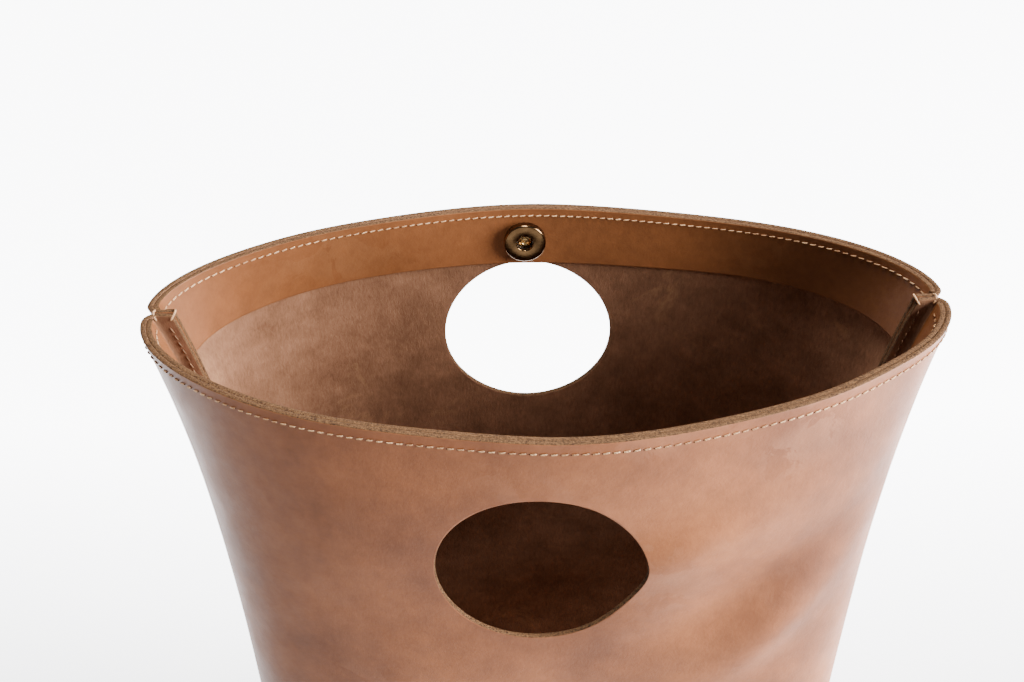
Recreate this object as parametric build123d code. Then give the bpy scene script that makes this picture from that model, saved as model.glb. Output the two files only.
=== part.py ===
from build123d import *
from math import asin, cos, degrees, exp, radians, sin
import os

# A leather hand bag that stands upright: two wall panels sewn to each other down the sides and
# to a tray-shaped base, each lined with a facing under its rim and cut through by a round hand
# hole, with a magnetic snap between the facings. Millimetres. X runs along the bag, -Y is the
# front, +Z is up, and the origin is the middle of the underside.

# the outer skin of the walls, a rounded rectangle at the base that opens into a lens at the mouth
bag_height = 300.0
mouth_half_width = 150.0
mouth_half_depth = 76.0
mouth_squareness = 1.8
base_half_width = 127.5
base_half_depth = 72.0
base_squareness = 4.2
squareness_power = 1.25
flare_length = 72.0

# the leather and its seams
panel_thickness = 2.0
facing_thickness = 2.0
facing_height = 28.0
glue_gap = 0.1
seam_gap = 0.3
curl_radius = 4.0
flange_length = 6.0

# the hand holes
centre_line = -5.0
hole_radius = 38.0
hole_drop = 66.5

# the base
tray_thickness = 2.0
tray_height = 12.0
flange_clearance = 2.0

# the sewing thread, which lies along each seam as one flat line on each face of the leather
thread_width = 0.8
thread_lift = 0.1
rim_thread_drop = 4.5
base_thread_height = 6.0
seam_thread_inset = 2.5

# the magnetic snap; depths along its axis start at the inner face of the facing
snap_line = -6.0
snap_drop = 16.0
snap_radius = 9.0
snap_play = 0.2
snap_meeting_gap = 0.3
seat_margin = 0.4
socket_height = 3.2
socket_wall = 0.6
socket_hole_radius = 3.5
magnet_thickness = 1.9
magnet_margin = 0.1
stud_thickness = 1.2
post_radius = 2.9
post_height = 2.4
rivet_head_radius = 2.6
rivet_head_height = 0.7
rivet_shank_radius = 1.2
sheet_metal = 0.4
prong_width = 5.0
prong_spacing = 9.0
prong_fold = 3.0
washer_radius = 7.8
overcut = 1.0

# worked out from the above
seam_centre = curl_radius + seam_gap / 2
facing_inset = panel_thickness + glue_gap
lining_inset = facing_inset + facing_thickness
tray_inset = panel_thickness + seam_gap
hole_height = bag_height - hole_drop
snap_height = bag_height - snap_drop

washer_front = -facing_thickness - snap_play
washer_back = washer_front - sheet_metal
prong_back = washer_back - sheet_metal
pocket_back = prong_back - snap_play
flange_foot = tray_height + flange_clearance


def steps(start, end, count):
    """Evenly spaced values from start to end, both included."""
    return [start + (end - start) * i / count for i in range(count + 1)]


wall_angles = steps(0, 180, 24)
wall_levels = steps(0, bag_height, 12)
facing_levels = steps(bag_height - facing_height, bag_height, 3)
seam_levels = steps(flange_foot, bag_height - rim_thread_drop, 12)


def outline(z):
    """Half width, half depth and squareness of the outer skin at a height."""
    flare = exp((z - bag_height) / flare_length)
    opening = (z / bag_height) ** squareness_power
    width = base_half_width + (mouth_half_width - base_half_width) * flare
    depth = base_half_depth + (mouth_half_depth - base_half_depth) * flare
    squareness = base_squareness + (mouth_squareness - base_squareness) * opening
    return width, depth, squareness


def wall_point(angle, z, inset):
    """A point of the front wall, turned from +X round the front and moved in from the outer skin."""
    width, depth, squareness = outline(z)
    reach = depth - seam_centre
    across = cos(radians(angle))
    out = sin(radians(angle))
    size = (abs(across) ** squareness + out**squareness) ** (1 / squareness)
    x = width * across / size
    y = reach * out / size
    slope = (abs(x) / width) ** (squareness - 1) / width
    normal = Vector(slope if x > 0 else -slope, -((y / reach) ** (squareness - 1)) / reach, 0).normalized()
    return Vector(x, -seam_centre - y, z) - normal * inset


def wall_curve(z, inset):
    """The front wall from its right end to its left end, at one height and one depth in the leather."""
    points = [wall_point(angle, z, inset) for angle in wall_angles]
    return Edge.make_spline(points, parameters=wall_angles)


def curl(z, side, radius):
    """The quarter turn that takes the leather from the wall into its flange."""
    centre_x = outline(z)[0] - curl_radius
    half_turn = radius * cos(radians(45))
    return ThreePointArc(
        (side * (centre_x + radius), -seam_centre, z),
        (side * (centre_x + half_turn), -seam_centre + half_turn, z),
        (side * centre_x, -seam_centre + radius, z),
    ).edge()


def panel_section(z):
    """The wall with both ends curled in and run on as straight flanges."""
    flange_start = outline(z)[0] - curl_radius
    flange_end = flange_start - flange_length
    outer_y = -seam_gap / 2
    inner_y = outer_y - panel_thickness
    edges = [wall_curve(z, 0), wall_curve(z, panel_thickness)]
    for side in (-1, 1):
        edges.append(curl(z, side, curl_radius))
        edges.append(curl(z, side, curl_radius - panel_thickness))
        edges.append(Edge.make_line((side * flange_start, outer_y, z), (side * flange_end, outer_y, z)))
        edges.append(Edge.make_line((side * flange_end, outer_y, z), (side * flange_end, inner_y, z)))
        edges.append(Edge.make_line((side * flange_end, inner_y, z), (side * flange_start, inner_y, z)))
    return Wire(edges)


def strip_section(z, inset, thickness):
    """A strip that follows the wall from end to end and stops short of the flanges."""
    outer = wall_curve(z, inset)
    inner = wall_curve(z, inset + thickness)
    ends = [Edge.make_line(outer @ end, inner @ end) for end in (0, 1)]
    return Wire([outer, inner, *ends])


def ring(z, inset):
    """The whole way round the bag, at one height and one depth in from the outer skin."""
    front = wall_curve(z, inset)
    back = front.mirror(Plane.XZ)
    ends = [Edge.make_line(front @ end, back @ end) for end in (0, 1)]
    return Wire([front, back, *ends])


def wall_depth(x, z):
    """How far the outer skin of a wall stands from the middle of the bag."""
    width, depth, squareness = outline(z)
    return seam_centre + (depth - seam_centre) * (1 - abs(x / width) ** squareness) ** (1 / squareness)


snap_depth = wall_depth(snap_line, snap_height) - lining_inset


def rod(radius, start, end):
    """A round bar along the snap's axis, between two depths."""
    return Pos(0, (start + end) / 2, 0) * Rot(90, 0, 0) * Cylinder(radius, abs(end - start))


def slab(width, height, start, end, x=0.0):
    """A flat bar across the snap's axis, between two depths."""
    return Pos(x, (start + end) / 2, 0) * Box(width, abs(end - start), height)


def on_front(solid):
    return Pos(snap_line, -snap_depth, snap_height) * solid


def on_back(solid):
    return Pos(snap_line, snap_depth, snap_height) * Rot(0, 0, 180) * solid


# walls
hole = Pos(centre_line, -mouth_half_depth, hole_height) * Rot(90, 0, 0) * Cylinder(hole_radius, mouth_half_depth)
pocket = on_front(rod(washer_radius + seat_margin, 0, pocket_back))
flange_root = outline(flange_foot)[0] - panel_thickness
panel = Solid.make_loft([panel_section(z) for z in wall_levels]) - hole - pocket
for side in (-1, 1):
    foot = Box(flange_length + curl_radius, 2 * (seam_centre + seam_gap), 2 * flange_foot)
    panel -= Pos(side * (flange_root - (flange_length + curl_radius) / 2), 0, 0) * foot

# facings, each flat under the snap and under its washer, with two slots for the prongs
seat = on_front(rod(snap_radius + seat_margin, 0, socket_height))
washer_seat = on_front(rod(washer_radius + seat_margin, -facing_thickness, pocket_back))
facing = Solid.make_loft([strip_section(z, facing_inset, facing_thickness) for z in facing_levels])
facing = facing - hole - seat - washer_seat
for side in (-1, 1):
    slot_width = sheet_metal + 2 * snap_play
    slot_height = prong_width + 2 * snap_play
    facing -= on_front(slab(slot_width, slot_height, overcut, -lining_inset, side * prong_spacing / 2))

# base, a tray whose rim stands inside the walls
tray_outside = Solid.make_loft([ring(0, tray_inset), ring(tray_height, tray_inset)])
tray_inner_inset = tray_inset + tray_thickness
tray_inside = Solid.make_loft([ring(z, tray_inner_inset) for z in (tray_thickness, tray_height + overcut)])
base_panel = tray_outside - tray_inside

# the parts of the snap that both halves have: a strip with two prongs, folded over a washer
strip = slab(prong_spacing + sheet_metal, prong_width, snap_play, snap_play + sheet_metal)
washer = rod(washer_radius, washer_front, washer_back)
for side in (-1, 1):
    leg_x = side * prong_spacing / 2
    fold_x = leg_x - side * (prong_fold - sheet_metal) / 2
    strip += slab(sheet_metal, prong_width, snap_play, prong_back, leg_x)
    strip += slab(prong_fold, prong_width, washer_back, prong_back, fold_x)
    washer -= slab(sheet_metal + snap_play, prong_width + snap_play, 0, prong_back, leg_x)
strip -= rod(rivet_shank_radius, 0, snap_play + sheet_metal)
strip_top = snap_play + sheet_metal

# socket half: a magnet in a brass cap, riveted to its strip
cap_top = strip_top + socket_height
cap_face = cap_top - socket_wall
socket_shell = rod(snap_radius, strip_top, cap_top)
socket_shell -= rod(snap_radius - socket_wall, strip_top, cap_face)
socket_shell -= rod(socket_hole_radius, cap_face, cap_top)
magnet_radius = snap_radius - socket_wall - magnet_margin
keeper_top = cap_face - magnet_thickness
magnet = rod(magnet_radius, keeper_top, cap_face) - rod(socket_hole_radius, keeper_top, cap_face)
keeper = rod(magnet_radius, strip_top, keeper_top) - rod(rivet_shank_radius, 0, cap_top)
socket_rivet = rod(rivet_shank_radius, snap_play, keeper_top)
socket_rivet += rod(rivet_head_radius, keeper_top, keeper_top + rivet_head_height)

# stud half: a disc and its post, riveted to the same kind of strip
disc_top = strip_top + stud_thickness
stud_disc = rod(snap_radius, strip_top, disc_top) - rod(rivet_shank_radius, strip_top, disc_top)
stud_post = rod(post_radius, disc_top, disc_top + post_height) + rod(rivet_shank_radius, snap_play, disc_top)


# threads, one inside the bag and one outside it along each seam that shows both faces
def rim_thread(inset):
    middle = bag_height - rim_thread_drop
    heights = (middle - thread_width / 2, middle + thread_width / 2)
    return Solid.make_loft([strip_section(z, inset, thread_width) for z in heights])


def base_thread(inset):
    heights = (base_thread_height - thread_width / 2, base_thread_height + thread_width / 2)
    outside = Solid.make_loft([ring(z, inset) for z in heights])
    return outside - Solid.make_loft([ring(z, inset + thread_width) for z in heights])


def seam_thread(side, face):
    """A thread down the inner face of one flange, from the rim seam to the foot of the flange."""
    y = face * (seam_gap / 2 + panel_thickness + seam_gap + thread_width / 2)
    sections = []
    for z in seam_levels:
        x = side * (outline(z)[0] - curl_radius - seam_thread_inset)
        sections.append(Pos(x, y, z) * Wire.make_rect(thread_width, thread_width))
    return Solid.make_loft(sections)


rim_threads = Compound([rim_thread(-thread_lift - thread_width), rim_thread(lining_inset + thread_lift)])
base_threads = [base_thread(-seam_gap - thread_width), base_thread(tray_inner_inset + thread_lift)]

nodes = {
    "front_panel": panel,
    "back_panel": panel.mirror(Plane.XZ),
    "base_panel": base_panel,
    "front_facing": facing,
    "back_facing": facing.mirror(Plane.XZ),
    "front_rim_stitching": rim_threads,
    "back_rim_stitching": rim_threads.mirror(Plane.XZ),
    "left_seam_stitching": Compound([seam_thread(-1, face) for face in (-1, 1)]),
    "right_seam_stitching": Compound([seam_thread(1, face) for face in (-1, 1)]),
    "base_stitching": Compound(base_threads),
    "socket_shell": on_back(socket_shell),
    "socket_magnet": on_back(magnet),
    "socket_keeper": on_back(keeper),
    "socket_rivet": on_back(socket_rivet),
    "socket_prongs": on_back(strip),
    "socket_washer": on_back(washer),
    "stud_disc": on_front(stud_disc),
    "stud_post": on_front(stud_post),
    "stud_prongs": on_front(strip),
    "stud_washer": on_front(washer),
}

os.makedirs("parts", exist_ok=True)
for name, solid in nodes.items():
    export_step(solid, f"parts/{name}.step")

# where the walls turn on the base, and how far they turn until the two halves of the snap meet
hinge_depth = outline(tray_height)[1] - panel_thickness / 2
meeting_depth = (cap_top + disc_top + snap_meeting_gap) / 2
closing_angle = degrees(asin((snap_depth - meeting_depth) / (snap_height - tray_height)))
print(f"walls turn at y {hinge_depth:.2f}, z {tray_height:.2f}, by {closing_angle:.2f} degrees at most")
print(f"snap turns at y {snap_depth:.2f}, z {snap_height:.2f}")
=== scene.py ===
import bmesh
import bpy
import numpy as np
from mathutils import Matrix, Vector


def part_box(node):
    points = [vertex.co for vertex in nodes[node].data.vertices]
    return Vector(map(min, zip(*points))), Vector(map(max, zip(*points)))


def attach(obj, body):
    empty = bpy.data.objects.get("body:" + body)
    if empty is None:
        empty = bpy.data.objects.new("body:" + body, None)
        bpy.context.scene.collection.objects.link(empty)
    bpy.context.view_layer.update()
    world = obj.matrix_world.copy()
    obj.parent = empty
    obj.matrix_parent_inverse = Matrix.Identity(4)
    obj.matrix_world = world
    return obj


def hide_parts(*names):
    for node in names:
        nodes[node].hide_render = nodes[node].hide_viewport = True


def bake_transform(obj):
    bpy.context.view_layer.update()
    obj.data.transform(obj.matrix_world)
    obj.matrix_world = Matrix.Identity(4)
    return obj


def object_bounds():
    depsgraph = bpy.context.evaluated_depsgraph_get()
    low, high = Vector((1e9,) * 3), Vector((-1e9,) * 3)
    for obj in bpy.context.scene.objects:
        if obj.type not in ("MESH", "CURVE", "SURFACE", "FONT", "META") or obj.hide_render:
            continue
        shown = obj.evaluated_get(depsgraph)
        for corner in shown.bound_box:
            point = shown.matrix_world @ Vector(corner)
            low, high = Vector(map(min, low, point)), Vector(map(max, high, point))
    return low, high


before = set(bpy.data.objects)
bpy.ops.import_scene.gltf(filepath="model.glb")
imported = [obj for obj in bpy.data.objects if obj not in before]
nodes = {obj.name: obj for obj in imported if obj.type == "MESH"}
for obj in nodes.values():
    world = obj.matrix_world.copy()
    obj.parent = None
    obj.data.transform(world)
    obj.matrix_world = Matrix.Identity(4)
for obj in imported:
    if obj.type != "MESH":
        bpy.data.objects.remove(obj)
cadLow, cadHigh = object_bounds()
print("frame loaded")

# Lengths are metres. X runs along the bag, -Y is the front, +Z is up.


# camera

camera = {
    "place": (-0.0152, -0.3478, 0.5491),
    "tilt": 37.4,       # degrees below the horizon
    "turn": -0.4,
    "roll": -1.0,
    "lens": 40.14,
    "sensor": 36.0,
}


def makeCamera():
    tilt, turn, roll = np.radians([camera["tilt"], camera["turn"], camera["roll"]])
    back = Vector((np.sin(turn) * np.cos(tilt), -np.cos(turn) * np.cos(tilt), np.sin(tilt)))
    right = (-back).cross(Vector((0, 0, 1))).normalized()
    up = right.cross(-back)
    rolledRight = right * np.cos(roll) + up * np.sin(roll)
    rolledUp = up * np.cos(roll) - right * np.sin(roll)
    data = bpy.data.cameras.new("camera")
    data.lens = camera["lens"]
    data.sensor_width = camera["sensor"]
    obj = bpy.data.objects.new("camera", data)
    bpy.context.scene.collection.objects.link(obj)
    turned = Matrix((rolledRight, rolledUp, back)).transposed().to_4x4()
    obj.matrix_world = Matrix.Translation(camera["place"]) @ turned
    bpy.context.scene.camera = obj


makeCamera()
print("camera placed")


# the walls' shape

wall = {
    "height": cadHigh.z,
    "mouthHalfWidth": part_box("front_panel")[1].x,
    "mouthHalfDepth": -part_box("front_panel")[0].y,
    "mouthSquareness": 1.8,
    "baseHalfWidth": 0.1275,
    "baseHalfDepth": 0.072,
    "baseSquareness": 4.2,
    "squarenessPower": 1.25,
    "flareLength": 0.072,
    "leather": 0.002,
    "glue": 0.00006,
    "seamGap": 0.00006,
    "curlRadius": 0.005,
    "flange": 0.0055,
    "taper": 0.22,          # the share of the flange that is gone some way below the rim
    "splay": 0.07,          # how far the flanges lean apart at the rim, as a slope
    "splayLength": 0.03,    # how far down both fade
    "sagDepth": 0.020,      # how far below the rim its dips fade
    "seamX": 0.134,         # where the walls stay still as the bag closes
}

hole = {
    "x": -0.005,
    "z": wall["height"] - 0.0665,
    "radius": 0.038,
    "halfBlock": 0.050,     # half the side of the square that its rings of cells fill
    "cells": 40,
    # how the front hole is drawn out: by what share, at which angle, and how widely
    "pulls": [(0.034, 0.03, 0.30), (-0.026, 0.70, 0.36), (-0.026, -0.66, 0.36)],
}

# soft dents and folds: how far out, where along X and Z, how long and how thick, and how many
# degrees the fold climbs towards +X
dents = {
    "front": [
        (-0.0022, -0.005, 0.226, 0.075, 0.042, 0),
        (0.0038, 0.050, 0.242, 0.042, 0.012, 25),
        (-0.0046, 0.076, 0.214, 0.044, 0.013, 32),
        (0.0038, 0.088, 0.192, 0.034, 0.011, 45),
        (-0.0024, 0.125, 0.300, 0.024, 0.030, 0),
        (-0.0015, -0.085, 0.205, 0.040, 0.050, 0),
    ],
    "back": [
        (0.0016, -0.050, 0.230, 0.050, 0.050, 0),
        (-0.0014, 0.070, 0.245, 0.050, 0.040, 0),
        (-0.0012, -0.125, 0.300, 0.025, 0.030, 0),
    ],
}

# dips of the rim: how far down, then where along X, then how wide
sags = {
    "front": [(0.0014, 0.000, 0.080)],
    "back": [(0.0016, 0.000, 0.060), (0.0018, 0.075, 0.045)],
}
sideSpan = 0.115    # the wall beyond the block round the hole, in the grid's own measure
leftEdge = hole["x"] - hole["halfBlock"]
rightEdge = hole["x"] + hole["halfBlock"]
seamCentre = wall["curlRadius"] + wall["seamGap"] / 2
curlLength = wall["curlRadius"] * np.pi / 2


def outline(z):
    # widths and depths grow towards the rim as exp((z - height) / flareLength), and the
    # superellipse's power falls with a power of the height
    flare = np.exp((z - wall["height"]) / wall["flareLength"])
    opening = np.clip(z / wall["height"], 0, 1) ** wall["squarenessPower"]
    width = wall["baseHalfWidth"] + (wall["mouthHalfWidth"] - wall["baseHalfWidth"]) * flare
    depth = wall["baseHalfDepth"] + (wall["mouthHalfDepth"] - wall["baseHalfDepth"]) * flare
    power = wall["baseSquareness"] + (wall["mouthSquareness"] - wall["baseSquareness"]) * opening
    return width, depth, power


def softness(x, z, side):
    # sum of bells, plus slow ripples, faded out at the seams
    width = outline(z)[0]
    fade = 1 - np.clip(np.abs(x) / width, 0, 1) ** 5
    out = np.zeros_like(x)
    for height, atX, atZ, long, thick, climb in dents[side]:
        c, s = np.cos(np.radians(climb)), np.sin(np.radians(climb))
        along, over = (x - atX) * c + (z - atZ) * s, (z - atZ) * c - (x - atX) * s
        out += height * np.exp(-((along / long) ** 2) - (over / thick) ** 2)
    shift = 0.0 if side == "front" else 1.9
    out += 0.0005 * np.sin(x * 61 + z * 23 + shift) + 0.0004 * np.sin(x * 37 - z * 71 + 2.1 + shift)
    return out * fade


def sagged(x, z, side):
    # the rim dips between the seams, and the dip fades below it
    fade = np.exp(-((wall["height"] - z) / wall["sagDepth"]) ** 2)
    down = sum(depth * np.exp(-((x - atX) / wide) ** 2) for depth, atX, wide in sags[side])
    return z - down * fade


def wallPoints(q, z, inset, side):
    # q is x inside the block round the hole; beyond it, q runs evenly in angle to the seam, and
    # then along the curl and the flange. A wall point is (width * c, reach * s) / size, with
    # size = (|c|^n + |s|^n)^(1/n), moved in along its normal by inset.
    q, z = np.asarray(q, float), np.asarray(z, float)
    width, depth, power = outline(z)
    reach = depth - seamCentre
    x = np.clip(q, leftEdge, rightEdge)
    share = np.abs(x) / width
    angle = np.arctan2((1 - share ** power) ** (1 / power), x / width)
    overLeft = np.clip((leftEdge - q) / sideSpan, 0, 1)
    overRight = np.clip((q - rightEdge) / sideSpan, 0, 1)
    angle = angle + overLeft * (np.pi - angle) - overRight * angle
    across, out = np.cos(angle), np.clip(np.sin(angle), 0, 1)
    size = (np.abs(across) ** power + out ** power) ** (1 / power)
    x, y = width * across / size, reach * out / size
    normalX = np.sign(across) * (np.abs(x) / width) ** (power - 1) / width
    normalY = (y / reach) ** (power - 1) / reach
    length = np.hypot(normalX, normalY)
    normalX, normalY = normalX / length, normalY / length
    lift = softness(x, z, side) - inset
    px, py = x + lift * normalX, -seamCentre - y - lift * normalY
    beyond = np.maximum(leftEdge - sideSpan - q, q - rightEdge - sideSpan)
    past = beyond > 0
    turn = np.clip(beyond / wall["curlRadius"], 0, np.pi / 2)
    radius = np.maximum(wall["curlRadius"] - inset, 0.0004)
    along = np.clip(beyond - curlLength, 0, None)
    sideways = np.where(q < 0, -1.0, 1.0)
    nearRim = np.exp((z - wall["height"]) / wall["splayLength"])
    lean = wall["splay"] * nearRim
    along = along * (1 - wall["taper"] * (1 - nearRim))
    endX = sideways * (width - wall["curlRadius"] + radius * np.cos(turn) - along)
    endY = -seamCentre + radius * np.sin(turn) - along * lean
    px, py = np.where(past, endX, px), np.where(past, endY, py)
    if side == "back":
        py = -py
    return np.stack([px, py, sagged(px, z, side)], -1)


# grids and shells


def stretch(*stops):
    # evenly spaced values from stop to stop: start, then (end, cells) pairs
    values = [stops[0]]
    for end, cells in stops[1:]:
        values.extend(np.linspace(values[-1], end, cells + 1)[1:])
    return np.array(values)


def blockSpots():
    # even spots from -1 to 1, with one more close on either side of the middle, so that the two
    # halves of a wall shade alike where they meet
    return np.sort(np.concatenate([np.linspace(-1, 1, hole["cells"] + 1), [-0.004, 0.004]]))


def gridCells(columns, rows):
    # the points of a grid, columns by rows, and the four corners of each of its cells
    flatQ, flatZ = np.meshgrid(columns, rows)
    points = np.stack([flatQ.ravel(), flatZ.ravel()], -1)
    index = np.arange(len(points)).reshape(flatQ.shape)
    cells = np.stack([index[:-1, :-1], index[:-1, 1:], index[1:, 1:], index[1:, :-1]], -1)
    return points, cells.reshape(-1, 4)


def wallColumns(flanges):
    # the facings have no flanges, and stop half way round the curl
    if flanges:
        far = leftEdge - sideSpan - curlLength - wall["flange"]
        end = [(far + 0.0003, 1), (leftEdge - sideSpan - curlLength, 5), (leftEdge - sideSpan, 8)]
    else:
        far = leftEdge - sideSpan - curlLength / 2
        end = [(far + 0.0003, 1), (leftEdge - sideSpan, 4)]
    left = stretch(far, *end, (leftEdge, 46))
    middle = (hole["x"] + hole["halfBlock"] * blockSpots())[1:]
    right = (leftEdge + rightEdge - left)[::-1][1:]
    return np.concatenate([left, middle, right])


def weld(points, cells):
    # points that share a place become one, and unused points go
    places, back = np.unique(np.round(points, 7), axis=0, return_inverse=True)
    cells = back.reshape(-1)[cells]
    used, cells = np.unique(cells, return_inverse=True)
    return places[used], cells.reshape(-1, 4)


def panelDomain(side):
    # a rectangle of cells with rings of cells between the round hole and a square block
    low, high = hole["z"] - hole["halfBlock"], hole["z"] + hole["halfBlock"]
    rows = np.concatenate([
        stretch(0, (0.0004, 1), (low, 46))[:-1],
        hole["z"] + hole["halfBlock"] * blockSpots(),
        stretch(high, (wall["height"] - 0.007, 4), (wall["height"] - 0.0004, 12), (wall["height"], 1))[1:],
    ])
    points, cells = gridCells(wallColumns(True), rows)
    middle = points[cells].mean(1)
    fromHole = abs(middle - [hole["x"], hole["z"]])
    cells = cells[(fromHole >= hole["halfBlock"]).any(1)]
    spots = blockSpots()[:-1]
    one = np.ones_like(spots)
    square = np.concatenate([
        np.stack([spots, -one], -1), np.stack([one, spots], -1),
        np.stack([-spots, one], -1), np.stack([-one, -spots], -1),
    ])
    centre = np.array([hole["x"], hole["z"]])
    ring = square / np.linalg.norm(square, axis=1, keepdims=True)
    if side == "front":
        # the front hole is drawn to a point at its right: the radius grows by bells of the angle
        turn = np.arctan2(ring[:, 1], ring[:, 0])
        pull = sum(share * np.exp(-((turn - at) / wide) ** 2) for share, at, wide in hole["pulls"])
        ring = ring * (1 + pull[:, None])
    ring = ring * hole["radius"] + centre
    square = square * hole["halfBlock"] + centre
    shares = np.array([0, 0.025, 0.09, 0.17, 0.26, 0.36, 0.47, 0.59, 0.72, 0.86, 1.0])[:, None, None]
    rings = ring + (square - ring) * shares
    count = len(square)
    index = np.arange(len(shares) * count).reshape(len(shares), count) + len(points)
    following = np.roll(index, -1, axis=1)
    ringCells = np.stack([index[:-1], index[1:], following[1:], following[:-1]], -1).reshape(-1, 4)
    return weld(np.concatenate([points, rings.reshape(-1, 2)]), np.concatenate([cells, ringCells]))


edgeSteps = np.array([0.1, 0.28, 0.5, 0.72, 0.9])


def shell(points, cells, outer, inner, rounding):
    # two skins over the same cells, joined round every free edge by a strip that bulges by
    # rounding * (1 - |2t - 1|^3). Returns places, faces, each face's surface (0 outer, 1 inner,
    # 2 cut edge) and each place's grid point.
    count = len(points)
    edges = np.concatenate([cells[:, [i, (i + 1) % 4]] for i in range(4)])
    keys = edges[:, 0] * count + edges[:, 1]
    free = edges[~np.isin(keys, edges[:, 1] * count + edges[:, 0])]
    normal = outer - inner
    normal /= np.linalg.norm(normal, axis=1, keepdims=True)
    direction = outer[free[:, 1]] - outer[free[:, 0]]
    direction /= np.linalg.norm(direction, axis=1, keepdims=True)
    away = np.cross(direction, normal[free[:, 0]])
    outward = np.zeros_like(outer)
    np.add.at(outward, free[:, 0], away)
    np.add.at(outward, free[:, 1], away)
    border = np.unique(free)
    outward[border] /= np.linalg.norm(outward[border], axis=1, keepdims=True)
    places, faces = [outer, inner], [cells, cells[:, ::-1] + count]
    surface = [np.zeros(len(cells), int), np.ones(len(cells), int)]
    slot = np.zeros(count, int)
    slot[border] = np.arange(len(border))
    layers = [free]
    for number, step in enumerate(edgeSteps):
        swell = rounding * (1 - abs(2 * step - 1) ** 3)
        places.append(outer[border] + (inner[border] - outer[border]) * step + outward[border] * swell)
        layers.append(slot[free] + 2 * count + number * len(border))
    layers.append(free + count)
    for near, far in zip(layers[:-1], layers[1:]):
        faces.append(np.stack([near[:, 1], near[:, 0], far[:, 0], far[:, 1]], -1))
        surface.append(np.full(len(free), 2))
    origin = np.concatenate([points, points] + [points[border]] * len(edgeSteps))
    return np.concatenate(places), np.concatenate(faces), np.concatenate(surface), origin


def makeMesh(name, places, faces, materials, surface=None):
    # surface holds the number of each face's material
    used, faces = np.unique(faces, return_inverse=True)
    faces = faces.reshape(-1, 4)
    data = bpy.data.meshes.new(name)
    data.vertices.add(len(used))
    data.vertices.foreach_set("co", places[used].astype(np.float32).ravel())
    data.loops.add(faces.size)
    data.loops.foreach_set("vertex_index", faces.astype(np.int32).ravel())
    data.polygons.add(len(faces))
    data.polygons.foreach_set("loop_start", np.arange(0, faces.size, 4, dtype=np.int32))
    data.polygons.foreach_set("loop_total", np.full(len(faces), 4, np.int32))
    for material in materials:
        data.materials.append(material)
    if surface is not None:
        data.polygons.foreach_set("material_index", surface.astype(np.int32))
    data.polygons.foreach_set("use_smooth", np.ones(len(faces), bool))
    data.update(calc_edges=True)
    data.validate()
    obj = bpy.data.objects.new(name, data)
    bpy.context.scene.collection.objects.link(obj)
    return obj


def finishPiece(obj, body, node):
    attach(obj, body)
    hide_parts(node)


def closeCut(obj, material):
    # the flat cut between the two halves of a wall
    work = bmesh.new()
    work.from_mesh(obj.data)
    cut = [edge for edge in work.edges if edge.is_boundary]
    for edge in cut:
        edge.smooth = False
    made = bmesh.ops.holes_fill(work, edges=cut, sides=0)["faces"]
    for face in made:
        face.smooth = False
        face.material_index = material
    work.to_mesh(obj.data)
    work.free()


def halves(name, places, faces, surface, origin, side, materials, node):
    # a wall's piece in a left and a right half, split at the hole's centre line, each with its cut closed
    if side == "back":
        faces = faces[:, ::-1]
    middle = origin[faces][:, :, 0].mean(1)
    for half, chosen in (("left", middle < hole["x"]), ("right", middle >= hole["x"])):
        obj = makeMesh(f"{name}_{half}", places, faces[chosen], materials, surface[chosen])
        closeCut(obj, len(materials) - 1)
        bendHalf(obj)
        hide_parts(node)


def bendHalf(obj):
    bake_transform(obj)


# materials


def addNode(tree, kind, inputs=None, **settings):
    # an input is a plain value or a (node, output) pair to link from
    node = tree.nodes.new(kind)
    for key, value in settings.items():
        setattr(node, key, value)
    for key, value in (inputs or {}).items():
        if isinstance(value, tuple) and isinstance(value[0], bpy.types.Node):
            tree.links.new(value[0].outputs[value[1]], node.inputs[key])
        else:
            node.inputs[key].default_value = value
    return node


def newMaterial(name, **shader):
    material = bpy.data.materials.new(name)
    material.use_nodes = True
    tree = material.node_tree
    surface = tree.nodes["Principled BSDF"]
    for key, value in shader.items():
        surface.inputs[key.replace("_", " ")].default_value = value
    return material, tree, surface


def objectPlace(tree):
    return (addNode(tree, "ShaderNodeTexCoord"), "Object")


def noise(tree, place, scale, detail=3.0, roughness=0.55, distortion=0.0):
    made = addNode(tree, "ShaderNodeTexNoise", {
        "Vector": place, "Scale": scale, "Detail": detail, "Roughness": roughness, "Distortion": distortion,
    })
    return (made, "Fac")


def spread(tree, value, low, high, toLow=0.0, toHigh=1.0):
    made = addNode(tree, "ShaderNodeMapRange", {
        "Value": value, "From Min": low, "From Max": high, "To Min": toLow, "To Max": toHigh,
    })
    return (made, "Result")


def mixColour(tree, share, first, second, blend="MIX"):
    made = tree.nodes.new("ShaderNodeMix")
    made.data_type = "RGBA"
    made.blend_type = blend
    for socket, value in ((0, share), (6, first), (7, second)):
        if isinstance(value, tuple) and isinstance(value[0], bpy.types.Node):
            tree.links.new(value[0].outputs[value[1]], made.inputs[socket])
        else:
            made.inputs[socket].default_value = value if socket == 0 else (*value, 1)
    return (made, 2)


def joinUp(tree, first, second, operation="ADD"):
    made = addNode(tree, "ShaderNodeMath", {0: first, 1: second}, operation=operation)
    return (made, 0)


def setBump(tree, surface, height, distance, strength=1.0):
    bump = addNode(tree, "ShaderNodeBump", {"Height": height, "Distance": distance, "Strength": strength})
    tree.links.new(bump.outputs["Normal"], surface.inputs["Normal"])


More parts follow.
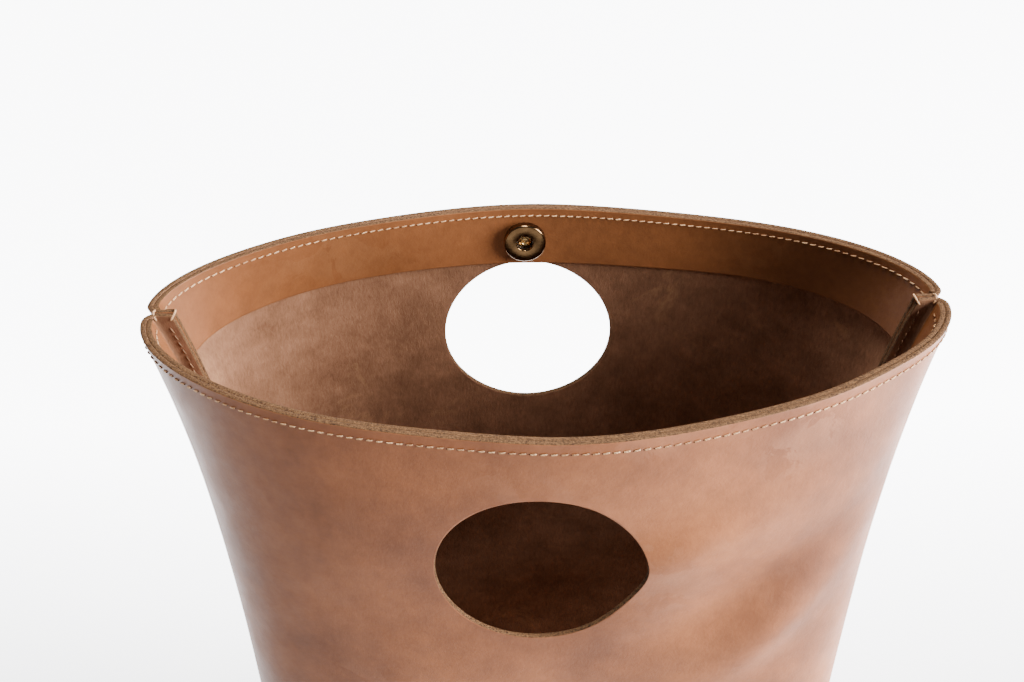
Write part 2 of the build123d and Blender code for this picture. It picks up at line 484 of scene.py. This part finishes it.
def leatherMaterial(name, finish):
    # waxed leather: slow colour drifts, fine mottling, faint scuffs, and a fine closed grain
    material, tree, surface = newMaterial(name, Specular_IOR_Level=finish["shine"])
    place = objectPlace(tree)
    drift = spread(tree, noise(tree, place, 13, 3), 0.36, 0.64)
    mottle = spread(tree, noise(tree, place, 210, 6, 0.68), 0.30, 0.72)
    colour = mixColour(tree, drift, finish["dark"], finish["light"])
    shade = mixColour(tree, mottle, (0.86, 0.84, 0.82), (1.1, 1.1, 1.1))
    colour = mixColour(tree, 1.0, colour, shade, "MULTIPLY")
    wander = noise(tree, place, 34, 5, 0.6, 1.4)
    scuff = spread(tree, joinUp(tree, wander, 0.5, "SUBTRACT"), 0.0, 0.012, 1.0, 0.0)
    scuff = joinUp(tree, scuff, spread(tree, noise(tree, place, 22, 2), 0.55, 0.75), "MULTIPLY")
    colour = mixColour(tree, joinUp(tree, scuff, 0.22, "MULTIPLY"), colour, finish["scuff"])
    tree.links.new(colour[0].outputs[colour[1]], surface.inputs["Base Color"])
    smooth, rough = finish["roughness"]
    gloss = spread(tree, noise(tree, place, 70, 4, 0.6), 0.3, 0.7, smooth, rough)
    tree.links.new(gloss[0].outputs[gloss[1]], surface.inputs["Roughness"])
    grain = addNode(tree, "ShaderNodeTexVoronoi", {"Vector": place, "Scale": 900.0}, feature="SMOOTH_F1")
    pores = joinUp(tree, (grain, "Distance"), noise(tree, place, 2600, 4, 0.7))
    creases = joinUp(tree, noise(tree, place, 150, 4, 0.6), 3.0, "MULTIPLY")
    setBump(tree, surface, joinUp(tree, pores, creases), 0.00007, 0.55)
    return material


def suedeMaterial(name):
    # the flesh side: fibres in short tangled strokes, blotches, and pale rubbed streaks
    material, tree, surface = newMaterial(name, Roughness=0.93, Specular_IOR_Level=0.06)
    place = objectPlace(tree)
    turned = addNode(tree, "ShaderNodeMapping", {"Vector": place, "Scale": (1.0, 1.0, 0.35)})
    fibres = noise(tree, (turned, "Vector"), 900, 8, 0.75, 0.6)
    blotch = spread(tree, noise(tree, place, 55, 6, 0.66), 0.32, 0.70)
    colour = mixColour(tree, blotch, (0.140, 0.066, 0.036), (0.238, 0.117, 0.066))
    shade = mixColour(tree, spread(tree, fibres, 0.25, 0.75), (0.70, 0.68, 0.66), (1.22, 1.22, 1.22))
    colour = mixColour(tree, 1.0, colour, shade, "MULTIPLY")
    rubbed = spread(tree, noise(tree, place, 26, 8, 0.72, 0.8), 0.60, 0.74, 0.0, 0.5)
    colour = mixColour(tree, rubbed, colour, (0.38, 0.20, 0.10))
    tree.links.new(colour[0].outputs[colour[1]], surface.inputs["Base Color"])
    setBump(tree, surface, joinUp(tree, fibres, joinUp(tree, blotch, 0.6, "MULTIPLY")), 0.0003, 0.8)
    return material


def cutEdgeMaterial(name):
    # a raw cut: tan fibres with dark specks
    material, tree, surface = newMaterial(name, Roughness=0.9, Specular_IOR_Level=0.12)
    place = objectPlace(tree)
    fibres = noise(tree, place, 1900, 6, 0.85)
    specks = spread(tree, noise(tree, place, 1300, 4, 0.75), 0.49, 0.59)
    colour = mixColour(tree, spread(tree, fibres, 0.36, 0.62), (0.022, 0.010, 0.005), (0.150, 0.075, 0.033))
    colour = mixColour(tree, joinUp(tree, specks, 0.85, "MULTIPLY"), colour, (0.018, 0.009, 0.005))
    tree.links.new(colour[0].outputs[colour[1]], surface.inputs["Base Color"])
    setBump(tree, surface, fibres, 0.00025, 0.9)
    return material


def threadMaterial(name, dark, light):
    # waxed thread: a twist of strands, shown by slanting waves along each stitch
    material, tree, surface = newMaterial(name, Roughness=0.6, Specular_IOR_Level=0.25)
    place = objectPlace(tree)
    strands = addNode(tree, "ShaderNodeTexWave", {
        "Vector": place, "Scale": 520.0, "Distortion": 1.5, "Detail": 1.0,
    }, bands_direction="DIAGONAL")
    strand = (strands, "Fac")
    tint = spread(tree, noise(tree, place, 90, 3), 0.35, 0.65)
    colour = mixColour(tree, tint, dark, light)
    shade = mixColour(tree, strand, (0.80, 0.78, 0.74), (1.08, 1.08, 1.08))
    colour = mixColour(tree, 1.0, colour, shade, "MULTIPLY")
    tree.links.new(colour[0].outputs[colour[1]], surface.inputs["Base Color"])
    setBump(tree, surface, strand, 0.00008, 0.7)
    return material


def metalMaterial(name, colour, dull, roughness):
    # plated metal with a little tarnish and fine wear
    material, tree, surface = newMaterial(name, Metallic=1.0)
    place = objectPlace(tree)
    tarnish = spread(tree, noise(tree, place, 260, 5, 0.6), 0.35, 0.75)
    made = mixColour(tree, tarnish, colour, dull)
    tree.links.new(made[0].outputs[made[1]], surface.inputs["Base Color"])
    wear = spread(tree, noise(tree, place, 900, 5, 0.7), 0.3, 0.7, roughness * 0.7, roughness * 1.5)
    tree.links.new(wear[0].outputs[wear[1]], surface.inputs["Roughness"])
    setBump(tree, surface, noise(tree, place, 1800, 3), 0.00001, 0.3)
    return material


# dark and light are where the colour drifts between, and roughness is its least and its most
waxedFinish = {
    "dark": (0.140, 0.048, 0.020),
    "light": (0.285, 0.099, 0.036),
    "scuff": (0.40, 0.19, 0.11),
    "roughness": (0.41, 0.54),
    "shine": 0.28,
}
facingFinish = {
    "dark": (0.122, 0.043, 0.014),
    "light": (0.178, 0.063, 0.021),
    "scuff": (0.27, 0.12, 0.05),
    "roughness": (0.46, 0.59),
    "shine": 0.18,
}
outsideLeather = leatherMaterial("waxedLeather", waxedFinish)
facingLeather = leatherMaterial("facingLeather", facingFinish)
suede = suedeMaterial("suedeSide")
cutEdge = cutEdgeMaterial("rawEdge")
# the near-black colour below is painted shade: it stands in for the shadow in the needle holes at each
# stitch's ends
needleHoleShade = newMaterial("needleHoleShade", Base_Color=(0.045, 0.020, 0.010, 1), Roughness=0.9)[0]
thread = threadMaterial("waxedThread", (0.30, 0.15, 0.07), (0.50, 0.30, 0.16))
# the darker thread below is painted shade: it stands for the seam's stitches lying in the shade inside the
# bag
shadedSeamThread = threadMaterial("shadedSeamThread", (0.10, 0.045, 0.02), (0.20, 0.10, 0.05))
brass = metalMaterial("brass", (0.90, 0.68, 0.34), (0.72, 0.50, 0.22), 0.17)
# the darkened brass below is a shaded copy of brass: its dark colour is painted shade, standing in for the
# dark reflections on the socket cap's face
shadedBrass = metalMaterial("shadedBrass", (0.20, 0.115, 0.052), (0.125, 0.068, 0.030), 0.12)
platedSteel = metalMaterial("platedSteel", (0.62, 0.60, 0.55), (0.42, 0.39, 0.34), 0.30)
magnetFerrite = metalMaterial("magnetFerrite", (0.10, 0.10, 0.105), (0.05, 0.05, 0.055), 0.5)
print("materials made")


# panels and facings

facing = {
    "foot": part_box("front_facing")[0].z,
    "rounding": 0.0002,
    "drop": 0.00015,    # the facing's edge sits a hair below the panel's
}
panel = {"rounding": 0.0003}


def makeWall(side):
    points, cells = panelDomain(side)
    outer = wallPoints(points[:, 0], points[:, 1], 0.0, side)
    inner = wallPoints(points[:, 0], points[:, 1], wall["leather"], side)
    flip = np.array([1, -1 if side == "back" else 1, 1])
    places, faces, surface, origin = shell(points, cells, outer * flip, inner * flip, panel["rounding"])
    halves(f"{side}_panel", places * flip, faces, surface, origin, side,
           [outsideLeather, suede, cutEdge], f"{side}_panel")
    top = wall["height"] - facing["drop"]
    rows = stretch(
        facing["foot"], (facing["foot"] + 0.0004, 1), (top - 0.006, 9), (top - 0.0004, 8), (top, 1))
    points, cells = gridCells(wallColumns(False), rows)
    near = wall["leather"] + wall["glue"]
    outer = wallPoints(points[:, 0], points[:, 1], near, side)
    inner = wallPoints(points[:, 0], points[:, 1], near + wall["leather"], side)
    places, faces, surface, origin = shell(points, cells, outer * flip, inner * flip, facing["rounding"])
    halves(f"{side}_facing", places * flip, faces, surface, origin, side,
           [suede, facingLeather, cutEdge], f"{side}_facing")


for side in ("front", "back"):
    makeWall(side)
print("walls and facings made")


# threads

stitch = {
    "pitch": 0.0034,
    "length": 0.0029,
    "thickness": 0.00029,
    "slant": 0.16,
    "outsideDrop": 0.0044,
    "outsideRise": 0.0012,  # how much nearer the rim the outside row comes at the seams
    "insideDrop": 0.0034,
    "baseHeight": 0.006,
    "loopThickness": 0.0004,    # the radius of the loops over the rim
    "seamFoot": 0.018,          # where the seams' stitches start
    "seamInset": 0.0028,        # how far they stand from the curl's end
}


def stitchSet(places, along, out):
    # every stitch is a tube whose radius is thickness * (1 - 0.45 t^4) and whose height over the
    # leather is thickness * (0.9 - 1.9 t^6), so its ends dive into their holes; t runs from -1 to 1
    count, rings, sides = len(places), 9, 8
    t = np.linspace(-1, 1, rings)
    turn = np.linspace(0, 2 * np.pi, sides, endpoint=False)
    radius = stitch["thickness"] * (1 - 0.45 * t ** 4)
    height = stitch["thickness"] * (0.9 - 1.9 * t ** 6)
    along = along / np.linalg.norm(along, axis=1, keepdims=True)
    out = out / np.linalg.norm(out, axis=1, keepdims=True)
    cross = np.cross(out, along)
    a = (t * stitch["length"] / 2)[:, None] + 0 * turn
    b = radius[:, None] * np.cos(turn) + a * stitch["slant"]
    c = radius[:, None] * np.sin(turn) + height[:, None]
    made = (places[:, None, None] + along[:, None, None] * a[None, :, :, None]
            + cross[:, None, None] * b[None, :, :, None] + out[:, None, None] * c[None, :, :, None])
    index = np.arange(count * rings * sides).reshape(count, rings, sides)
    beside = np.roll(index, -1, axis=2)
    tubes = np.stack([index[:, :-1], beside[:, :-1], beside[:, 1:], index[:, 1:]], -1).reshape(-1, 4)
    ends = []
    for ring, order in ((0, (3, 2, 1, 0)), (rings - 1, (0, 1, 2, 3))):
        for start in (0, 2, 4):
            corner = [0, start + 1, start + 2, start + 3]
            ends.append(index[:, ring][:, [corner[i] % sides for i in order]])
    # the end rings and the six end caps take the second material, the painted shade of the needle holes
    shadedEnds = np.zeros((count, rings - 1, sides), int)
    shadedEnds[:, [0, -1]] = 1
    shadedEnds = np.concatenate([shadedEnds.ravel(), np.ones(6 * count, int)])
    return made.reshape(-1, 3), np.concatenate([tubes] + ends), shadedEnds


def rowAlongWall(height, rise, inset, side, outward):
    # one stitch every pitch along the wall's length, at height + rise * (q / seam's q)^2
    q = np.linspace(leftEdge - sideSpan, rightEdge + sideSpan, 4001)
    z = height + rise * (q / q.max()) ** 2
    line = wallPoints(q, z + 0 * q, inset, side)
    travelled = np.concatenate([[0], np.cumsum(np.linalg.norm(np.diff(line, axis=0), axis=1))])
    count = int(travelled[-1] / stitch["pitch"])
    spare = (travelled[-1] - (count - 1) * stitch["pitch"]) / 2
    spots = spare + stitch["pitch"] * np.arange(count)
    level = np.interp(spots, travelled, z)
    q = np.interp(spots, travelled, q)
    places = wallPoints(q, level, inset, side)
    along = wallPoints(q + 0.0004, level, inset, side) - wallPoints(q - 0.0004, level, inset, side)
    out = (wallPoints(q, level, inset - 0.001, side) - wallPoints(q, level, inset + 0.001, side)) * outward
    return q, places, along, out


def makeThreads(name, rows, node):
    # rows of stitches in a left and a right half
    for half in ("left", "right"):
        parts, faces, dark, total = [], [], [], 0
        for q, places, along, out in rows:
            chosen = q < hole["x"] if half == "left" else q >= hole["x"]
            made, cells, shadedEnds = stitchSet(places[chosen], along[chosen], out[chosen])
            parts.append(made)
            faces.append(cells + total)
            dark.append(shadedEnds)
            total += len(made)
        # the ends of the stitches take the painted shade of the needle holes
        obj = makeMesh(f"{name}_{half}", np.concatenate(parts), np.concatenate(faces),
                       [thread, needleHoleShade], np.concatenate(dark))
        bendHalf(obj)
        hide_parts(node)


liningInset = 2 * wall["leather"] + wall["glue"]
for side in ("front", "back"):
    rim = [
        rowAlongWall(wall["height"] - stitch["outsideDrop"], stitch["outsideRise"], 0.0, side, 1),
        rowAlongWall(wall["height"] - stitch["insideDrop"], 0.0, liningInset, side, -1),
    ]
    makeThreads(f"{side}_rim_thread", rim, f"{side}_rim_stitching")
    foot = [rowAlongWall(stitch["baseHeight"], 0.0, 0.0, side, 1)]
    makeThreads(f"{side}_base_thread", foot, "base_stitching")


def tube(path, radius, sides=8):
    # a closed-ended tube along a path of points, its radius times (1 - 0.4 t^8) as t runs from -1 to 1
    ahead = np.gradient(path, axis=0)
    ahead /= np.linalg.norm(ahead, axis=1, keepdims=True)
    first = np.cross(ahead, [0, 0, 1])
    first /= np.linalg.norm(first, axis=1, keepdims=True)
    second = np.cross(first, ahead)
    turn = np.linspace(0, 2 * np.pi, sides, endpoint=False)
    t = np.linspace(-1, 1, len(path))
    size = (radius * (1 - 0.4 * t ** 8))[:, None, None]
    around = first[:, None] * np.cos(turn)[:, None] + second[:, None] * np.sin(turn)[:, None]
    places = path[:, None] + size * around
    index = np.arange(len(path) * sides).reshape(len(path), sides)
    beside = np.roll(index, -1, axis=1)
    cells = np.stack([index[:-1], beside[:-1], beside[1:], index[1:]], -1).reshape(-1, 4)
    caps = [index[0][[0, 3, 2, 1]], index[0][[0, 5, 4, 3]], index[0][[0, 7, 6, 5]],
            index[-1][[0, 1, 2, 3]], index[-1][[0, 3, 4, 5]], index[-1][[0, 5, 6, 7]]]
    return places.reshape(-1, 3), np.concatenate([cells, np.array(caps)])


def curlStart(sideways):
    # where a seam's curl starts, in the grid's own measure
    return rightEdge + sideSpan if sideways > 0 else -leftEdge + sideSpan


def seamLoops(sideways):
    # two loops of thread over the rim from one flange to the other; each is the half ellipse
    # -cos(t) across and sin(t) up
    t = np.linspace(0, np.pi, 25)[:, None]
    start = curlStart(sideways)
    far = start + curlLength + wall["flange"]
    height = np.array([wall["height"] - 0.0018])
    loops = []
    for reach, bulge in ((far - 0.0010, -0.0016), (start + 0.8 * curlLength, 0.0012)):
        q = np.array([sideways * reach])
        ends = [wallPoints(q, height, wall["leather"] + 0.0003, side) for side in ("front", "back")]
        middle, half = (ends[0] + ends[1]) / 2, (ends[1] - ends[0]) / 2
        loops.append(middle - half * np.cos(t) + np.array([sideways * bulge, 0, 0.0023]) * np.sin(t))
    return loops


def makeSeamThread(name, sideways, node):
    # stitches down the inner face of both flanges, in a darker thread that is painted shade, and loops of
    # the plain thread over the rim
    q = sideways * (curlStart(sideways) + curlLength + stitch["seamInset"])
    parts, faces, total = [], [], 0
    for side in ("front", "back"):
        z = np.arange(stitch["seamFoot"], wall["height"] - 0.004, stitch["pitch"])
        level = np.full_like(z, q)
        places = wallPoints(level, z, wall["leather"], side)
        along = wallPoints(level, z + 0.0005, wall["leather"], side) - places
        out = places - wallPoints(level, z, 0.0, side)
        made, cells, _ = stitchSet(places, along, out)
        parts.append(made)
        faces.append(cells + total)
        total += len(made)
    sewn = sum(len(cells) for cells in faces)
    for loop in seamLoops(sideways):
        made, cells = tube(loop, stitch["loopThickness"])
        parts.append(made)
        faces.append(cells + total)
        total += len(made)
    faces = np.concatenate(faces)
    isLoop = np.arange(len(faces)) >= sewn
    obj = makeMesh(name, np.concatenate(parts), faces, [shadedSeamThread, thread], isLoop)
    finishPiece(obj, "base", node)


makeSeamThread("left_seam_thread", -1, "left_seam_stitching")
makeSeamThread("right_seam_thread", 1, "right_seam_stitching")
print("threads made")


# base

base = {
    "gap": 0.0006,
    "thickness": 0.002,
    "rim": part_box("base_panel")[1].z,
    "corner": 0.0022,
    "edge": 0.0002,     # how far its rim's edges are eased
}


def makeBase():
    # a tray: a profile of (inset, height, share of the way out from the centre) carried round the
    # superellipse of the walls
    inset = wall["leather"] + base["gap"]
    thick, rim, corner, edge = base["thickness"], base["rim"], base["corner"], base["edge"]
    bend = np.linspace(0, np.pi / 2, 7)
    under = [(inset + corner, 0.0, share) for share in np.linspace(0.02, 1, 14)]
    outer = [(inset + corner * (1 - np.sin(a)), corner * (1 - np.cos(a)), 1.0) for a in bend[1:]]
    top = [
        (inset + edge, rim - edge / 2, 1.0),
        (inset + thick / 2, rim, 1.0),
        (inset + thick - edge, rim - edge / 2, 1.0),
    ]
    small = corner / 2
    inner = [(inset + thick + small * (1 - np.cos(a)), thick + small * (1 - np.sin(a)), 1.0) for a in bend]
    floor = [(inset + thick + small, thick, share) for share in np.linspace(1, 0.02, 14)[1:]]
    outside = under + outer + [(inset, rim - 0.001, 1.0)] + top
    profile = np.array(outside + inner + floor)
    ring = np.arange(len(profile) - 1) >= len(outside) - 1
    turn = np.linspace(0, 2 * np.pi, 240, endpoint=False)
    width, depth, power = outline(profile[:, 1][:, None] + 0 * turn)
    c, s = np.cos(turn), np.sin(turn)
    size = (np.abs(c) ** power + np.abs(s) ** power) ** (1 / power)
    share = profile[:, 2][:, None]
    x = (width - profile[:, 0][:, None]) * c / size * share
    y = (depth - profile[:, 0][:, None]) * s / size * share
    z = profile[:, 1][:, None] + 0 * x
    places = np.stack([x, y, z], -1).reshape(-1, 3)
    index = np.arange(len(places)).reshape(x.shape)
    beside = np.roll(index, -1, axis=1)
    faces = np.stack([index[:-1], index[1:], beside[1:], beside[:-1]], -1).reshape(-1, 4)
    obj = makeMesh("base_tray", places, faces, [outsideLeather, suede], np.repeat(ring, len(turn)))
    work = bmesh.new()
    work.from_mesh(obj.data)
    bmesh.ops.holes_fill(work, edges=[edge for edge in work.edges if edge.is_boundary], sides=0)
    bmesh.ops.recalc_face_normals(work, faces=work.faces)
    work.to_mesh(obj.data)
    work.free()
    finishPiece(obj, "base", "base_panel")


makeBase()
print("base made")


# snap


def lathe(name, profile, centre, facingWay, material, steps=72):
    # a closed profile of (radius, depth along the axis) spun round the snap's axis
    turn = np.linspace(0, 2 * np.pi, steps, endpoint=False)
    radius, depth = np.array(profile).T
    x = centre[0] + radius[:, None] * np.cos(turn)
    z = centre[2] + radius[:, None] * np.sin(turn)
    y = centre[1] + facingWay * depth[:, None] + 0 * turn
    places = np.stack([x, y, z], -1).reshape(-1, 3)
    index = np.arange(len(places)).reshape(x.shape)
    below = np.roll(index, -1, axis=0)
    beside, across = np.roll(index, -1, axis=1), np.roll(below, -1, axis=1)
    faces = np.stack([index, beside, across, below], -1).reshape(-1, 4)
    obj = makeMesh(name, places, faces, [material])
    work = bmesh.new()
    work.from_mesh(obj.data)
    bmesh.ops.remove_doubles(work, verts=work.verts, dist=1e-6)
    bmesh.ops.recalc_face_normals(work, faces=work.faces)
    work.to_mesh(obj.data)
    work.free()
    return obj


def arc(centreR, centreD, radius, start, end, steps=6):
    # (centreR + radius * cos(angle), centreD + radius * sin(angle)) from start to end degrees
    angle = np.radians(np.linspace(start, end, steps))
    return list(zip(centreR + radius * np.cos(angle), centreD + radius * np.sin(angle)))


snap = {
    "socketHole": 0.0034,
    "skin": 0.0006,             # the cap's sheet metal
    "capEdge": 0.0007,
    "recess": 0.0023,           # the depth of the hole's wall
    "shank": 0.0012,
    "rivetHead": 0.0007,
    "headSeat": 0.0032,
    "discEdge": 0.0004,
    "postEdge": 0.0005,
    "washerRadius": 0.0047,     # narrower than the part's, to stay in the leather as the snap rocks
    "washerBore": 0.0021,
}


def roundBox(name):
    # the radius, the middle, the front and the back of a round node that stands along Y
    low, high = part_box(name)
    return (high.x - low.x) / 2, ((low.x + high.x) / 2, (low.z + high.z) / 2), low.y, high.y


def makeSocket():
    # a cap with a rounded rim and a hole, then the rivet's ringed head at the bottom of the hole
    radius, (x, z), front, back = roundBox("socket_shell")
    height, bore, skin, edge = back - front, snap["socketHole"], snap["skin"], snap["capEdge"]
    foot, lining = height - snap["recess"], bore + 0.00008
    profile = [(radius, 0.0), (radius, height - edge)]
    profile += arc(radius - edge, height - edge, edge, 0, 90)
    profile += [(radius * 0.72, height - 0.00008)]
    profile += arc(bore + 0.0004, height - 0.0004, 0.0004, 90, 180)
    profile += [(bore, foot), (lining, foot), (lining, height - skin)]
    profile += [(radius - skin, height - skin), (radius - skin, 0.0)]
    # the cap takes the darkened brass, painted shade of its face
    cap = lathe("snap_socket_cap", profile, (x, back, z), -1, shadedBrass)
    finishPiece(cap, "back_snap", "socket_shell")
    radius, (x, z), front, back = roundBox("socket_rivet")
    depth, shank, seat = back - front, snap["shank"], snap["headSeat"]
    under = depth - snap["rivetHead"]
    profile = [(0.0, depth - 0.0003), (0.0005, depth - 0.00028)]
    profile += [(0.0008, depth - 0.00055), (0.0012, depth - 0.0006)]
    profile += arc(0.0016, depth - 0.00022, 0.00022, 200, 20, 7)
    profile += [(0.0019, depth - 0.0004), (radius - 0.0003, depth - 0.00035), (radius, depth - 0.0005)]
    profile += [(seat, under + 0.0001), (seat, under), (shank, under), (shank, 0.0), (0.0, 0.0)]
    rivet = lathe("snap_socket_rivet", profile, (x, back, z), -1, brass)
    finishPiece(rivet, "back_snap", "socket_rivet")


def makeStud():
    # a flat disc with a round edge, then a domed post with a dimple in its end
    shank = snap["shank"]
    radius, (x, z), front, discTop = roundBox("stud_disc")
    edge, thick = snap["discEdge"], discTop - front
    profile = [(shank, 0.0), (radius - edge, 0.0)]
    profile += arc(radius - edge, edge, edge, -90, 90, 9)
    profile += [(radius - 0.0015, thick - 0.0002), (0.0034, thick), (shank, thick)]
    disc = lathe("snap_stud_disc", profile, (x, front, z), 1, brass)
    finishPiece(disc, "front_snap", "stud_disc")
    radius, (x, z), front, back = roundBox("stud_post")
    edge, depth, foot = snap["postEdge"], back - front, discTop - front
    profile = [(0.0, 0.0), (shank, 0.0), (shank, foot), (radius, foot), (radius, depth - edge)]
    profile += arc(radius - edge, depth - edge, edge, 0, 90)
    profile += [(0.0009, depth), (0.0007, depth - 0.0004), (0.0, depth - 0.0005)]
    post = lathe("snap_stud_post", profile, (x, front, z), 1, brass)
    finishPiece(post, "front_snap", "stud_post")


def makeWasher(node, body):
    # a flat ring
    (x, z), front, back = roundBox(node)[1:]
    bore, radius, thick = snap["washerBore"], snap["washerRadius"], back - front
    profile = [(bore, 0.0), (radius, 0.0), (radius, thick), (bore, thick)]
    washer = lathe(node + "_ring", profile, (x, front, z), 1, platedSteel)
    finishPiece(washer, body, node)


makeSocket()
makeStud()
makeWasher("socket_washer", "back_snap")
makeWasher("stud_washer", "front_snap")
finishes = {
    "socket_magnet": magnetFerrite,
    "socket_keeper": platedSteel,
    "socket_prongs": platedSteel,
    "stud_prongs": platedSteel,
}
for name, material in finishes.items():
    nodes[name].data.materials.clear()
    nodes[name].data.materials.append(material)
print("snap made")


# floor and light

studio = {
    "floor": 6.0,
    "skyStrength": 0.17,
    "floorGlow": 9.5,
    "windowPlace": (1.40, -0.30, 0.64),
    "windowSize": (1.5, 1.2),
    "windowPower": 204.0,
    "windowSpread": 180,
    "overheadPlace": (0.0, 0.0, 1.3),
    "overheadSize": (0.4, 0.3),
    "overheadPower": 1.6,
    "overheadSpread": 35,   # degrees: it lights the inside of the bag alone
}


def makeStudio():
    half = studio["floor"] / 2
    corners = np.array([(-half, -half, 0), (half, -half, 0), (half, half, 0), (-half, half, 0)], float)
    material, tree, surface = newMaterial("paleFloor", Roughness=0.8)
    place = objectPlace(tree)
    colour = mixColour(tree, noise(tree, place, 3, 2), (0.41, 0.41, 0.42), (0.44, 0.44, 0.45))
    tree.links.new(colour[0].outputs[colour[1]], surface.inputs["Base Color"])
    # the floor glows behind the bag, so that it reads white there without lighting the front
    apart = addNode(tree, "ShaderNodeSeparateXYZ", {"Vector": place})
    glow = spread(tree, (apart, "Y"), -0.12, 0.28, 0.1, studio["floorGlow"])
    tree.links.new(glow[0].outputs[glow[1]], surface.inputs["Emission Strength"])
    surface.inputs["Emission Color"].default_value = (0.98, 0.98, 1.0, 1)
    floor = makeMesh("floor", corners - [0, 0, 0.0002], np.array([[0, 1, 2, 3]]), [material])
    world = bpy.data.worlds.new("studio")
    bpy.context.scene.world = world
    world.use_nodes = True
    sky = world.node_tree.nodes["Background"]
    sky.inputs["Color"].default_value = (0.97, 0.98, 1.0, 1)
    sky.inputs["Strength"].default_value = studio["skyStrength"]
    for name in ("window", "overhead"):
        data = bpy.data.lights.new(name, "AREA")
        data.shape = "RECTANGLE"
        data.size, data.size_y = studio[name + "Size"]
        data.energy = studio[name + "Power"]
        data.spread = np.radians(studio[name + "Spread"])
        lamp = bpy.data.objects.new(name, data)
        lamp.location = studio[name + "Place"]
        aim = Vector((0, 0, 0.2)) - lamp.location
        lamp.rotation_euler = aim.to_track_quat("-Z", "Y").to_euler()
        bpy.context.scene.collection.objects.link(lamp)


makeStudio()
print("studio made")
